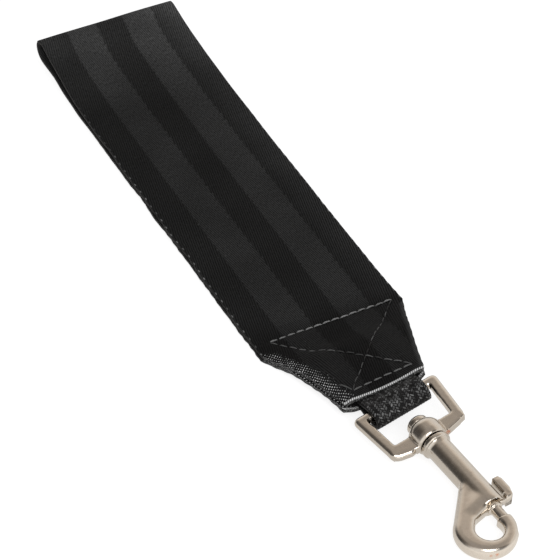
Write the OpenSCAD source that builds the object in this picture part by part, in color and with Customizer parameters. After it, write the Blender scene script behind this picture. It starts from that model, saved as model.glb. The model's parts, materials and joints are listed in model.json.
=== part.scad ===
// Webbing lanyard: one wide strap folded into a flat wrist loop, a narrow tab sewn
// between its two ends, and a swivel bolt snap whose eye hangs on the tab.
// +Y points at the folded end of the loop, -Y at the snap hook, +Z up.
// The origin is the middle of the strap's flat underside.

/* [Strap] */
// Width of the wide webbing
strap_w = 48; // [40:1:54]
// Thickness of the wide webbing
strap_t = 1.2; // [1.0:0.1:1.5]
// Length of the stretch where both layers lie flat
flat_len = 130; // [90:5:180]
// Length from the flat stretch to the folded end
fold_run = 20; // [16:1:30]
// Outer height of the folded end
loop_h = 7.6; // [7.2:0.2:9]
// Distance over which the top layer settles onto the bottom one
settle_len = 22; // [14:1:30]
// Air gap between the two layers where they lie flat
layer_gap = 0.1; // [0.05:0.05:0.3]

/* [Sewn end] */
// Length of the sewn end, from the flat stretch to the cut edge
sewn_len = 42.6; // [38:0.2:50]
// Straight part of the sewn end, before the corners are cut off
shoulder_len = 8.5; // [5:0.5:12]
// Width of the cut edge
end_w = 26; // [24:1:32]
// How far the cut sides curve in between the shoulders and the cut edge
taper_hollow = 0.8; // [0:0.1:1.5]
// Height that the cut edge is lifted off the table
end_lift = 2.8; // [1.5:0.1:3.6]
// Twist of the cut edge, right side up
end_roll = 7.5; // [0:0.5:9]

/* [Stitching] */
// Distance from one needle hole to the next
stitch_pitch = 2.9; // [2:0.1:4]
// Length of thread seen between two holes
stitch_len = 2.3; // [1.4:0.1:2.5]
// Thread radius
thread_r = 0.24; // [0.15:0.01:0.3]
// Half width of the seam across the shoulders
seam_top_half = 20.4; // [14:0.2:21]
// Half width of the seam along the cut edge
seam_end_half = 9.7; // [7:0.1:11]
// Distance from the flat stretch to the shoulder seam
seam_top_run = 7; // [4:0.5:8]
// Distance from the cut edge to the seam along it
seam_end_inset = 3; // [2.5:0.1:5]

/* [Tab] */
// Width of the narrow webbing
tab_w = 19; // [16:0.5:20]
// Thickness of the narrow webbing
tab_t = 1.3; // [1.0:0.1:1.5]
// Length of the tab that is sewn in between the strap layers
tab_root = 24; // [18:1:28]
// Distance from the strap's cut edge to the centre of the eye's bar
tab_reach = 6.4; // [6:0.1:9]
// Room that the tab's fold leaves in front of the bar
fold_slack = 1.6; // [0.8:0.1:2]
// Clearance round the bar inside the tab's fold
fold_clear = 0.2; // [0.1:0.05:0.4]

/* [Lie of the snap] */
// Angle of the snap's axis to the strap, in plan
swivel_yaw = 6.5; // [0:0.5:10]
// Roll of the eye on the snap's axis, right side up
eye_roll = 8.8; // [0:0.2:10]

/* [Eye] */
// Radius of the round bar that carries the tab
bar_r = 1.5; // [1.3:0.05:1.6]
// Clear width of the eye beside the bar
eye_in_top = 22; // [21:0.2:25]
// Clear width of the eye beside the boss
eye_in_low = 19.6; // [18:0.2:20.8]
// Distance from the bar's centre to the inner edge of the cross plate
plate_run = 13.3; // [12.8:0.1:16]
// Width of the cross plate at the arms
plate_w = 3.2; // [2.4:0.1:3.4]
// Thickness of the cross plate
plate_t = 2.8; // [2.4:0.1:3.2]
// Width of the arms
arm_w = 3.4; // [2.8:0.1:3.6]
// Radius of the boss that the stem turns in
boss_r = 5.1; // [4.8:0.1:5.4]
// Length of the boss
boss_len = 6.6; // [6:0.1:7.5]
// Distance from the cross plate's inner edge to the boss's front face
boss_front = 5; // [4.6:0.1:5.4]

/* [Swivel] */
// Radius of the stem in the boss
stem_r = 2; // [1.6:0.1:2.3]
// Radial clearance of the stem in its bore
stem_clear = 0.05; // [0.02:0.01:0.1]
// End clearance of the boss between the head and the collar
end_clear = 0.2; // [0.1:0.05:0.3]
// Radius of the peened head
head_r = 3.3; // [2.9:0.1:3.6]
// Height of the peened head
head_len = 2.7; // [2:0.1:3]
// Radius of the collar
collar_r = 4.5; // [4.2:0.1:4.8]
// Length of the collar
collar_len = 2.9; // [2.4:0.1:3.4]

/* [Hook] */
// Radius of the barrel
barrel_r = 3.7; // [3.5:0.05:3.9]
// Length of the barrel after the collar
barrel_len = 25.3; // [23:0.1:30]
// Clear radius of the round end of the hook
hole_r = 4; // [3.8:0.05:4.4]
// Outer radius of the round end
bow_r = 9.1; // [8.7:0.1:10]
// How far the clear round is set over towards the nose
hole_side = 0.7; // [0:0.05:1.2]
// How far the clear round is set ahead of the middle of the round end
hole_ahead = 0.8; // [0:0.1:1]
// Height of the hook's section
bow_t = 4.8; // [4.4:0.1:5.2]
// Rounding of the hook's edges
edge_r = 1.6; // [1:0.1:1.7]
// Distance from the barrel's end to the centre of the round end
bow_run = 6.2; // [6:0.1:9]
// Direction of the flank's outward side
flank = 228; // [222:1:232]
// Length of the flank, from the round end up into the barrel
flank_run = 15; // [13:0.5:17]
// Length of the nose past the middle of the round end
nose_len = 1; // [0.2:0.1:1.4]
// Depth of the seat in the nose
seat_len = 0.5; // [0.3:0.1:0.8]
// Radial clearance of the bolt's tip in its seat
seat_clear = 0.1; // [0.05:0.05:0.2]

/* [Bolt] */
// Radius of the bolt's rod
rod_r = 1.7; // [1.5:0.05:1.8]
// Radius of the bolt's tip, which enters the seat in the nose
tip_r = 1.2; // [1:0.05:1.3]
// Length of the bolt's tip
tip_len = 0.5; // [0.3:0.1:0.8]
// Radius of the bolt's guide inside the barrel
guide_r = 2.2; // [2:0.05:2.3]
// Length of the guide
guide_len = 9.3; // [8:0.1:10]
// Radial clearance of the guide in the barrel
guide_clear = 0.05; // [0.03:0.01:0.1]
// How far the bolt pulls back
bolt_travel = 6.2; // [5.5:0.1:6.5]
// Length of the lever's root along the bolt
root_len = 2.5; // [2:0.1:3]
// Height of the lever's root
root_h = 2.2; // [1.8:0.1:2.4]
// Clearance of the root in its slot
slot_clear = 0.15; // [0.1:0.05:0.3]
// Length of the thumb lever
ear_len = 8.2; // [7:0.1:9]
// Thickness of the thumb lever
ear_t = 2.1; // [1.8:0.1:2.4]
// Height of the thumb lever
ear_h = 4.4; // [3.8:0.1:4.8]
// Gap between the barrel and the thumb lever
ear_gap = 1; // [0.8:0.1:1.3]

/* [Spring] */
// Wire radius of the spring
wire_r = 0.2; // [0.15:0.01:0.25]
// Clearance of the spring in the barrel
spring_clear = 0.15; // [0.1:0.05:0.3]
// Length of the spring with the bolt closed
spring_len = 11; // [10:0.2:12]

/* [Hidden] */
$fn = 48;
eps = 0.01;

// Places along the strap
flat_y = flat_len/2;
fold_y = flat_y + fold_run;
end_y = -flat_y - sewn_len;
lie_h = 2*strap_t + layer_gap;          // both layers lying flat

// The tab's two plies fill this gap at the cut edge
ply_gap = 0.05;
tab_gap = 2*tab_t + 3*ply_gap;
tab_rise = 8;                           // stretch over which the strap rises over the tab

// Places along the snap's axis, from the bar's centre towards the hook
boss_s1 = plate_run + boss_front;
boss_s0 = boss_s1 - boss_len;
head_s = boss_s0 - end_clear - head_len;
collar_s = boss_s1 + end_clear;
barrel_s = collar_s + collar_len;
mouth_s = barrel_s + barrel_len;        // the barrel's open end
bow_s = mouth_s + bow_run;              // centre of the round end
nose_off = -0.2;                         // middle of the nose, beside the bolt's axis
bow_l = nose_off - (bow_r + hole_r + hole_side)/2;
bow_at = [bow_s, bow_l, 0];
hole_at = bow_at + [hole_ahead, hole_side, 0];
nose_s = bow_s - nose_len;
fold_in_r = bar_r + fold_clear;

// The boss and the hook both lie on the table, so the axis runs down to the hook
boss_round = 1.8;                       // length of the boss's rounded front
lie_clear = 0.05;
boss_foot = boss_s1 - boss_round;
hook_foot = bow_s + bow_r - edge_r;
pitch = atan((boss_r - bow_t/2)/(hook_foot - boss_foot));
bar_z = boss_r*cos(pitch) + boss_foot*sin(pitch) + lie_clear;
bar_x = -0.1;
bar_at = [bar_x, end_y - tab_reach, bar_z];

// Ease from 0 to 1 with level ends
function clamp01(t) = min(1, max(0, t));
function ease(t) = let (c = clamp01(t)) c*c*(3 - 2*c);

// Lift and twist of the sewn end, and the gap between its layers
function sewn_u(y) = clamp01((-flat_y - y)/sewn_len);
function lift(y) = end_lift*ease(sewn_u(y));
function twist(y) = end_roll*ease(sewn_u(y));
function gap_at(y) = layer_gap + (tab_gap - layer_gap)*ease((end_y + tab_root + tab_rise/2 - y)/tab_rise);
function half_w(y) = let (c = clamp01((-flat_y - shoulder_len - y)/(sewn_len - shoulder_len)))
    strap_w/2 + c*(end_w - strap_w)/2 - taper_hollow*sin(180*c);
// A point across the sewn end: x across, y along, h above the underside
function sewn_pt(x, y, h) = [x*cos(twist(y)) - h*sin(twist(y)), y, lift(y) + x*sin(twist(y)) + h*cos(twist(y))];
function top_h(y) = 2*strap_t + gap_at(y);

// A strip of webbing from rings of four corners each
module strip(rings) {
    n = len(rings);
    pts = [for (r = rings) each r];
    sides = [for (i = [0:n-2], k = [0:3]) let (a = 4*i + k, b = 4*i + (k+1)%4) each
        [[a, a+4, b], [b, a+4, b+4]]];
    polyhedron(points = pts, faces = concat([[0, 1, 2], [0, 2, 3]], sides,
        [[4*n-2, 4*n-3, 4*n-4], [4*n-1, 4*n-2, 4*n-4]]), convexity = 4);
}
function ring(y, half, h0, h1) = [sewn_pt(-half, y, h0), sewn_pt(half, y, h0),
                                  sewn_pt(half, y, h1), sewn_pt(-half, y, h1)];

// Side profile of the folded strap, between its inner and outer lines
top_steps = 28;
function top_z(y) = lie_h + (loop_h - lie_h)*exp(-max(0, fold_y - loop_h/2 - y)/settle_len*1.05);
function top_line(inset) = [for (i = [0:top_steps]) let (c = i/top_steps, y = fold_y - loop_h/2
    - c*c*(flat_len + fold_run - loop_h/2)) [y, top_z(y) - inset]];
function fold_arc(r) = [for (a = [-90:10:90]) [fold_y - loop_h/2 + r*cos(a), loop_h/2 + r*sin(a)]];
function reversed(p) = [for (i = [len(p)-1:-1:0]) p[i]];

module strap_side() polygon(concat(
    [[-flat_y, 0]], fold_arc(loop_h/2), top_line(0),
    reversed(top_line(strap_t)), reversed(fold_arc(loop_h/2 - strap_t)), [[-flat_y, strap_t]]));

module strap_webbing() color("#222222") {
    translate([-strap_w/2, 0, 0]) rotate([90, 0, 90]) linear_extrude(strap_w) strap_side();
    ys = [for (i = [0:16]) -flat_y - i*sewn_len/16];
    lap = 0.5;
    bottom = concat([ring(-flat_y + lap, strap_w/2, 0, strap_t)],
        [for (y = ys) ring(y, half_w(y), 0, strap_t)]);
    upper = concat([ring(-flat_y + lap, strap_w/2, top_h(-flat_y) - strap_t, top_h(-flat_y))],
        [for (y = ys) ring(y, half_w(y), top_h(y) - strap_t, top_h(y))]);
    strip(bottom);
    strip(upper);
}

// Frame of the snap: X along its axis to the hook, Y to its right, Z up
module snap_place(roll = 0) translate(bar_at) rotate([0, 0, swivel_yaw - 90])
    rotate([0, pitch, 0]) rotate([roll, 0, 0]) children();
function roll_x(p, a) = [p[0], p[1]*cos(a) - p[2]*sin(a), p[1]*sin(a) + p[2]*cos(a)];
function pitch_y(p, a) = [p[0]*cos(a) + p[2]*sin(a), p[1], -p[0]*sin(a) + p[2]*cos(a)];
function yaw_z(p, a) = [p[0]*cos(a) - p[1]*sin(a), p[0]*sin(a) + p[1]*cos(a), p[2]];
function eye_pt(p) = bar_at + yaw_z(pitch_y(roll_x(p, eye_roll), pitch), swivel_yaw - 90);

// One ply of the tab, from its root between the strap layers to its fold
module tab_ply(side) {
    w = tab_w/2 - eps;
    t = tab_t - 2*eps;
    h = fold_in_r + tab_t/2;
    ys = [for (i = [0:6]) end_y + tab_root - i*tab_root/6];
    function mid(y) = strap_t + gap_at(y)/2 + side*(tab_t + ply_gap)/2;
    s_in = -bar_r*0.6;
    strip(concat([for (y = ys) ring(y, w, mid(y) - t/2, mid(y) + t/2)],
        [for (s = [s_in, s_in + 0.6]) [for (c = [[-1, -1], [1, -1], [1, 1], [-1, 1]])
            eye_pt([s, c[0]*w, side*h + c[1]*t/2])]]));
}

module tab_webbing() color("#1a1a1a") {
    back = fold_slack + bar_r*0.6;
    snap_place(eye_roll) translate([fold_slack, 0, 0]) {
        difference() {
            rotate([90, 0, 0]) cylinder(r = fold_in_r + tab_t, h = tab_w, center = true);
            rotate([90, 0, 0]) cylinder(r = fold_in_r, h = tab_w + 1, center = true);
            translate([-10, -tab_w, -10]) cube([10, 2*tab_w, 20]);
        }
        for (side = [-1, 1]) translate([-back, -tab_w/2, side*(fold_in_r + tab_t/2) - tab_t/2])
            cube([back + eps, tab_w, tab_t]);
    }
    tab_ply(-1);
    tab_ply(1);
}

// The seam's corners and its lines, in plan
seam_shift = 1.2;
seam_y0 = -flat_y - seam_top_run;
seam_y1 = end_y + seam_end_inset;
seam_tl = [seam_shift - seam_top_half, seam_y0];
seam_tr = [seam_shift + seam_top_half, seam_y0];
seam_bl = [seam_shift - seam_end_half, seam_y1];
seam_br = [seam_shift + seam_end_half, seam_y1];
seam_tail = [seam_shift - seam_end_half - 2.4, seam_y1 + 4.6];
seams = [[seam_tl, seam_tr], [seam_tl, seam_br], [seam_tr, seam_bl], [seam_bl, seam_br], [seam_bl, seam_tail]];

// A thread lying between two points
module thread(a, b) {
    d = b - a;
    translate(a) rotate([0, acos(d[2]/norm(d)), atan2(d[1], d[0])]) cylinder(r = thread_r, h = norm(d), $fn = 6);
}
// Every stitch of every line, the threads sunk half way into the face at height h
module stitches(face, sink) for (line = seams) {
    run = norm(line[1] - line[0]);
    count = max(1, floor(run/stitch_pitch));
    dir = (line[1] - line[0])/run;
    for (i = [0:count-1]) {
        m = line[0] + dir*(i + 0.5)*run/count;
        a = m - dir*stitch_len/2;
        b = m + dir*stitch_len/2;
        thread(sewn_pt(a[0], a[1], face*top_h(a[1]) + sink), sewn_pt(b[0], b[1], face*top_h(b[1]) + sink));
    }
}
module needle_thread() color("#5a5a5a") stitches(1, 0);
module bobbin_thread() color("#5a5a5a") stitches(0, thread_r*0.6);

// A solid turned about the snap's axis, from points of place and radius
module turned(pts) rotate([0, 90, 0]) rotate_extrude() polygon(
    concat([[0, pts[0][0]]], [for (p = pts) [p[1], p[0]]], [[0, pts[len(pts)-1][0]]]));
module along(r, s0, s1) translate([s0, 0, 0]) rotate([0, 90, 0]) cylinder(r = r, h = s1 - s0);

// One arm of the eye, round outside and flat inside
module arm(side) {
    a = [0, side*(eye_in_top/2)];
    b = [plate_run, side*(eye_in_low/2)];
    lean = atan2(b[1] - a[1], b[0] - a[0]);
    run = norm(b - a);
    translate([a[0], a[1], 0]) rotate([0, 0, lean]) {
        translate([0, side*arm_w/2, 0]) rotate([0, 90, 0]) cylinder(r = bar_r, h = run + plate_w/2);
        translate([0, side*arm_w/4, 0]) translate([0, -arm_w/4, -bar_r + 0.1])
            cube([run + plate_w/2, arm_w/2, 2*bar_r - 0.2]);
    }
    translate([a[0], a[1] + side*arm_w/2, 0]) sphere(r = bar_r);
}

module swivel_eye() color("#b3a89e") snap_place(eye_roll) difference() {
    union() {
        rotate([90, 0, 0]) cylinder(r = bar_r, h = eye_in_top + arm_w, center = true);
        for (side = [-1, 1]) arm(side);
        low = eye_in_low/2 + arm_w*0.75;
        translate([0, 0, -plate_t/2]) linear_extrude(plate_t) polygon([
            [plate_run, -eye_in_low/2], [plate_run, eye_in_low/2],
            [plate_run + plate_w/2, low], [plate_run + plate_w, low],
            [boss_s1 - 0.2, boss_r], [boss_s1 - 0.2, -boss_r],
            [plate_run + plate_w, -low], [plate_run + plate_w/2, -low]]);
        turned([[boss_s0, head_r + 0.4], [boss_s0 + 1.1, boss_r - 0.4], [boss_s0 + 2.2, boss_r],
                [boss_foot, boss_r], [boss_s1 - 0.6, boss_r - 0.2], [boss_s1, collar_r]]);
    }
    along(stem_r + stem_clear, boss_s0 - 1, boss_s1 + 1);
}

// A bar's section with rounded edges
module bar_section(w) {
    square([w - 2*edge_r, bow_t], center = true);
    square([w, bow_t - 2*edge_r], center = true);
    for (x = [-1, 1], y = [-1, 1]) translate([x*(w/2 - edge_r), y*(bow_t/2 - edge_r)]) circle(r = edge_r);
}
// A round plate of the hook's thickness, its rim rounded like the bar's edges
module round_plate(r) rotate_extrude() intersection() {
    translate([r - bow_t, 0]) bar_section(2*bow_t);
    translate([0, -bow_t]) square([2*r, 2*bow_t]);
}
module round_disc(r) {
    cylinder(r = r - bow_t/2, h = bow_t, center = true);
    round_plate(r);
}
// What a round hole with rounded edges takes away
module round_hole(r) rotate_extrude() difference() {
    translate([0, -bow_t]) square([r + edge_r, 2*bow_t]);
    translate([r + 1.5*edge_r, 0]) bar_section(3*edge_r);
}
// Width of the flank, between the round end's rim and the hole's wall
flank_out = [cos(flank), sin(flank), 0];
flank_in = (hole_at - bow_at)*flank_out + hole_r;
flank_w = bow_r - flank_in - 0.2;        // a little less than the round end's own width
flank_lap = 1.2;                         // how far the flank runs on into the round end

bore_r = guide_r + guide_clear;
guide_s1 = mouth_s + 1.1;                // the guide's front ring stands out of the barrel
guide_s0 = guide_s1 - guide_len;
root_s1 = guide_s1;
root_s0 = root_s1 - root_len;
tip_s = nose_s + seat_len - seat_clear;

// The round end, from the flank round to the nose
module bow() difference() {
    translate(bow_at) round_disc(bow_r);
    translate(hole_at) round_hole(hole_r);
    far = 3*bow_r;
    translate([bow_s, bow_l, -bow_t]) linear_extrude(2*bow_t) polygon([[0, 0], [-nose_len, 0],
        [-nose_len, far], [-far, far], [-far, 0], far*[cos(flank), sin(flank)]]);
}
// Metal that fills the corner between the barrel and the flank
web_l = -5.6;                            // how far it reaches along the barrel's mouth
function on_flank(run) = [bow_s, bow_l] + (bow_r + flank_in)/2*[cos(flank), sin(flank)]
    + run*[sin(flank), -cos(flank)];
module web() linear_extrude(bow_t - 2*0.6, center = true) polygon([
    [mouth_s, 0], [mouth_s, web_l], on_flank(-2), on_flank(flank_run - 1)]);

module snap_hook() color("#b3a89e") snap_place() difference() {
    union() {
        turned([[head_s, head_r*0.45], [head_s + head_len*0.2, head_r*0.8],
                [head_s + head_len*0.5, head_r], [head_s + head_len, head_r]]);
        along(stem_r, head_s + head_len/2, collar_s + 1);
        turned([[collar_s, collar_r - 0.3], [collar_s + 0.4, collar_r], [collar_s + collar_len*0.5, collar_r],
                [collar_s + collar_len*0.75, collar_r - 0.5], [barrel_s, barrel_r]]);
        along(barrel_r, barrel_s - eps, mouth_s);
        translate(bow_at) rotate([0, 0, flank]) translate([(bow_r + flank_in)/2, flank_lap, 0])
            rotate([90, 0, 0]) linear_extrude(flank_run + flank_lap) bar_section(flank_w);
        web();
        bow();
    }
    along(bore_r, guide_s0 - bolt_travel - spring_len + 5, mouth_s + 1);
    translate([root_s0 - bolt_travel - slot_clear, 0, -root_h/2 - slot_clear])
        cube([20, 2*barrel_r, root_h + 2*slot_clear]);
    along(tip_r + seat_clear, nose_s - 1, nose_s + seat_len);
}

// The thumb lever's outline, in plan: root, bend and ear
ear_l = barrel_r + ear_gap;
module lever_plan() {
    translate([root_s0, guide_r*0.5]) square([root_len, ear_l - guide_r*0.5 + 0.2]);
    difference() {
        translate([root_s1 - ear_len, ear_l]) square([ear_len, ear_t]);
        translate([root_s1 - ear_t, ear_l]) square([ear_t, ear_t]);
    }
    intersection() {
        translate([root_s1 - ear_t, ear_l]) circle(r = ear_t);
        translate([root_s1 - ear_t, ear_l]) square(ear_t);
    }
    translate([root_s1 - ear_len, ear_l + ear_t/2]) circle(r = ear_t/2);
}

module snap_bolt() color("#b3a89e") snap_place() {
    along(guide_r, guide_s0, guide_s1);
    along(rod_r, guide_s1 - eps, tip_s - tip_len);
    along(tip_r, tip_s - tip_len - eps, tip_s);
    along(rod_r*0.6, guide_s0 - 2, guide_s0 + eps);
    linear_extrude(root_h, center = true) translate([root_s0, guide_r*0.5]) square([root_len, ear_l - guide_r*0.5]);
    intersection() {
        linear_extrude(ear_h, center = true) lever_plan();
        translate([root_s1 - 2*ear_len, ear_l - 0.4, -ear_h]) cube([3*ear_len, 2*ear_t, 2*ear_h]);
    }
}

module bolt_spring() color("#c8c8c8") snap_place() difference() {
    along(bore_r - spring_clear, guide_s0 - spring_len, guide_s0);
    along(bore_r - spring_clear - 2*wire_r, guide_s0 - spring_len - 1, guide_s0 + 1);
}

strap_webbing();
tab_webbing();
needle_thread();
bobbin_thread();
swivel_eye();
snap_hook();
snap_bolt();
bolt_spring();
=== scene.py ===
import bmesh
import bpy
import json
import math
import random
from mathutils import Matrix, Vector, noise


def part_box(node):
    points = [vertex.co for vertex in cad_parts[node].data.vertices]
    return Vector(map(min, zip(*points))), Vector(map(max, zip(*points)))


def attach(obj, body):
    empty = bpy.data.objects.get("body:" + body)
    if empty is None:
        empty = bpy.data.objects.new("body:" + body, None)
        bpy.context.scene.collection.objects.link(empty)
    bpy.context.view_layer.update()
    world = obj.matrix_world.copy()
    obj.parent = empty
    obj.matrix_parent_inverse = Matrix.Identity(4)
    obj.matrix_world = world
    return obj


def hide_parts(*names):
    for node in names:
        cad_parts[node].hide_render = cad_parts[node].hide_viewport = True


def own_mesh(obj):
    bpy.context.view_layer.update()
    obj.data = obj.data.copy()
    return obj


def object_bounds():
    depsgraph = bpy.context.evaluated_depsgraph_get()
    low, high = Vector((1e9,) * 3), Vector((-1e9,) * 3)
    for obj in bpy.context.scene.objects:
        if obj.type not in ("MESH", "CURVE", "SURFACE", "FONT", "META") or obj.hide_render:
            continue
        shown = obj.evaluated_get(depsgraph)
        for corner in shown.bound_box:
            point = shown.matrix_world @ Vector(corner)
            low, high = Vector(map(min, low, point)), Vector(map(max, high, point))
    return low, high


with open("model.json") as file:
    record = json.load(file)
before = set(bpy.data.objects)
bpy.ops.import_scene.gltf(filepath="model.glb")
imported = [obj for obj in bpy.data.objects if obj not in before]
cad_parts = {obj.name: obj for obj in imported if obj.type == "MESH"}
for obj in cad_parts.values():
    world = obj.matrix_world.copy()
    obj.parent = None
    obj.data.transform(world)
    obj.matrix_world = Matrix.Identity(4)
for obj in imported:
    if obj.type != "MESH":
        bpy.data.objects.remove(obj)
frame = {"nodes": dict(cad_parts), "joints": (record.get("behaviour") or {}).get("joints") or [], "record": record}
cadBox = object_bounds()
mm = 0.001                               # lengths below are in millimetres, and objects in metres
scene = bpy.context.scene
joints = {joint["name"]: joint for joint in frame["joints"]}
mounts = {mount["name"]: mount for mount in frame["record"]["mounts"]}

strapLow, strapHigh = (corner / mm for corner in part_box("strap_webbing"))
barAt = Vector(joints["eye_swing"]["pos_m"]) / mm
barAlong = Vector(joints["eye_swing"]["axis"]).normalized()
snapAlong = Vector(joints["swivel"]["axis"]).normalized()
eyeUp = barAlong.cross(-snapAlong).normalized()
hookUp = Vector(mounts["hook_bow"]["axis"]).normalized()
hookSide = hookUp.cross(snapAlong).normalized()


def snapPoint(along, side, up):          # from the eye's bar: along the snap, to the lever's side, and up
    return barAt + snapAlong * along + hookSide * side + hookUp * up


def eyePoint(along, side, up):           # the same, with the side measured along the bar
    return barAt + snapAlong * along + barAlong * side + eyeUp * up


view = {"azimuth": -27.7, "elevation": 41.99, "roll": 0.63, "distance": 1004, "target": (-2.74, -46.88, 0),
        "lens": 215.74, "sensor": 36, "clip": (0.05, 20)}


def compassWay(azimuth, elevation):      # azimuth 0 is +Y and 90 is -X, in degrees
    az, el = math.radians(azimuth), math.radians(elevation)
    return Vector((-math.sin(az) * math.cos(el), math.cos(az) * math.cos(el), math.sin(el)))


def makeCamera():
    forward = compassWay(view["azimuth"], -view["elevation"])
    level = compassWay(view["azimuth"] - 90, 0)
    upward = level.cross(forward)
    roll = math.radians(view["roll"])
    right = level * math.cos(roll) + upward * math.sin(roll)
    up = upward * math.cos(roll) - level * math.sin(roll)
    camera = bpy.data.objects.new("camera", bpy.data.cameras.new("camera"))
    scene.collection.objects.link(camera)
    camera.data.lens, camera.data.sensor_width = view["lens"], view["sensor"]
    camera.data.clip_start, camera.data.clip_end = view["clip"]
    camera.rotation_mode = "QUATERNION"
    camera.rotation_quaternion = Matrix((right, up, -forward)).transposed().to_quaternion()
    camera.location = (Vector(view["target"]) - forward * view["distance"]) * mm
    scene.camera = camera


makeCamera()
print("camera set")


def colour(hexCode):                     # an sRGB colour as Blender's linear one
    parts = [int(hexCode[i:i + 2], 16) / 255 for i in (1, 3, 5)]
    return tuple(c / 12.92 if c <= 0.04045 else ((c + 0.055) / 1.055) ** 2.4 for c in parts) + (1,)


# the menu that a second word in a node's kind sets, as in "Math ADD"
menus = {"Math": "operation", "VectorMath": "operation", "Mix": "data_type", "MapRange": "interpolation_type"}


def join(tree, value, socket):           # a node stands for its first output in use, and None leaves the socket
    if isinstance(value, bpy.types.Node):
        value = next(out for out in value.outputs if out.enabled)
    if isinstance(value, bpy.types.NodeSocket):
        tree.links.new(value, socket)
    elif value is not None:
        socket.default_value = value


# inputs go to the sockets in use, in order, and more than they hold go on into a further node, as in a long sum
def addNode(tree, kind, *inputs, stops=(), **settings):
    name, _, choice = kind.partition(" ")
    node = tree.nodes.new("ShaderNode" + name)
    if choice:
        setattr(node, menus[name], choice)
    for setting, value in settings.items():
        setattr(node, setting, value)
    sockets = [socket for socket in node.inputs if socket.enabled]
    for value, socket in zip(inputs, sockets):
        join(tree, value, socket)
    for i, (place, shade) in enumerate(stops):
        ramp = node.color_ramp.elements
        stop = ramp[i] if i < len(ramp) else ramp.new(place)
        stop.position, stop.color = place, shade
    more = inputs[len(sockets):]
    return addNode(tree, kind, node, *more, **settings) if more else node


def startMaterial(name):
    material = bpy.data.materials.new(name)
    material.use_nodes = True
    return material, material.node_tree, material.node_tree.nodes["Principled BSDF"]


def dress(tree, shader, finish):
    for name, value in finish.items():
        join(tree, value, shader.inputs[name])


def finishPiece(name, bm, materials, body, node):
    mesh = bpy.data.meshes.new(name)
    for face in bm.faces:
        face.smooth = True
    bm.to_mesh(mesh)
    bm.free()
    piece = bpy.data.objects.new(name, mesh)
    scene.collection.objects.link(piece)
    for material in materials:
        mesh.materials.append(material)
    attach(piece, body)
    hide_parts(node)
    return piece


def layCloth(bm, place):                 # the cloth's own millimetres, for its weave to follow
    cloth = bm.loops.layers.uv.new("cloth")
    for face in bm.faces:
        for loop in face.loops:
            loop[cloth].uv = place[loop.vert]


def clampUnit(t):
    return min(1, max(0, t))


def ease(t):
    c = clampUnit(t)
    return c * c * (3 - 2 * c)


def softened(line, rounds):              # eases the bends of a line whose ends stay
    for again in range(rounds):
        eased = [(line[i - 1] + 2 * line[i] + line[i + 1]) / 4 for i in range(1, len(line) - 1)]
        line = [line[0], *eased, line[-1]]
    return line


strap = {                                # a pair in brackets is for the left and the right side
    "thick": 1.2, "layerGap": 0.1, "rowStep": 0.5, "columns": 76, "easing": 14,
    "foldHeight": 7.9, "foldPast": 0.3, "settle": 21,                   # how the upper layer comes down from the fold
    "fineUntil": 3, "fineFrom": 55, "sparse": 4,                        # rows are thinned out between these
    "flatEnd": -65, "shoulder": (10.6, 8.5), "cutHalf": 13, "taperHollow": (1.8, 0.4),      # the tapered end
    "cutLift": 2.8, "cutRoll": 7.5, "cutBow": 1.3, "bowReach": 14,      # how its cut lies
    "neck": (1.0, 0), "neckFrom": 50, "neckRun": 30,                    # narrower towards the fold
    "edgeWave": 3.7, "waveDepth": 0.1, "waveUntil": 55, "waveFade": 60, "wavePower": 6,     # the selvedge's swing
    "ragged": (0.4, 0.15), "raggedScale": (0.09, 2, 9), "rightCalm": 0.6,
    "bulge": 0.45, "bulgeAt": -6, "bulgeReach": 9,                      # the right corner stands out
    "seamDip": 0.3, "seamReach": 1.1, "seamPast": 4, "underDip": 0.6,
    "swell": 0.35, "swellAcross": 0.045, "swellAlong": 0.05, "swellSeed": 5.3, "swellFade": 30, "swellRun": 40,
    "closeDown": (0.46, 0.3), "closeUp": (0.54, 0.6), "splay": 0.22, "splayPower": 4,       # the layers beside the tab
    "pinchFrom": 0.3, "pinchRun": 4.5,
    "slant": 0.95, "cutFrom": 1.5, "cutFade": 2,                        # the selvedge isn't cut, and the taper is
}
strapHalf = (strapHigh.x - strapLow.x) / 2
cutEnd, foldEnd = strapLow.y, strapHigh.y
sewnRun = strap["flatEnd"] - cutEnd
tab = {
    "width": 19, "curl": 0.4, "thick": 1.3, "wall": 1.2, "plyGap": 0.05,
    "root": 24, "rootShort": 0.5, "rootSteps": 16, "rise": 8,           # its run between the strap's ends
    "foldAhead": 1.6, "foldRadius": 2.35, "foldStep": 15, "run": (-0.9, 0.4), "easing": 10,
    "step": 0.24, "rib": 1.0, "float": 0.85, "relief": 0.13, "lean": 0.8,                   # its basket weave
    "unsteady": 0.6, "unsteadyScale": 0.9, "unsteadySeed": 2.2, "hidden": 0.3, "bareRun": 4, "edge": 0.8,
}
seam = {"shift": 1.2, "topHalf": 20.4, "endHalf": 9.7, "topRun": 7, "endInset": 3, "tail": (-2.4, 4.6), "pitch": 2.9}
tabGap = 2 * tab["thick"] + 3 * tab["plyGap"]


def sewnPoint(x, y, h):                  # the sewn end lifts and rolls a little towards its cut
    share = ease((strap["flatEnd"] - y) / sewnRun)
    roll = math.radians(strap["cutRoll"] * share)
    return Vector((x * math.cos(roll) - h * math.sin(roll), y,
                   strap["cutLift"] * share + x * math.sin(roll) + h * math.cos(roll)))


def layerGap(y):                         # the two layers part where the tab lies between them
    share = ease((cutEnd + tab["root"] + tab["rise"] / 2 - y) / tab["rise"])
    return strap["layerGap"] + (tabGap - strap["layerGap"]) * share


def halfWidth(y, side):                  # side 0 is the left edge, 1 the right one
    shoulder = strap["shoulder"][side]
    c = clampUnit((strap["flatEnd"] - shoulder - y) / (sewnRun - shoulder))
    return strapHalf + c * (strap["cutHalf"] - strapHalf) - strap["taperHollow"][side] * math.sin(math.pi * c)


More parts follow.
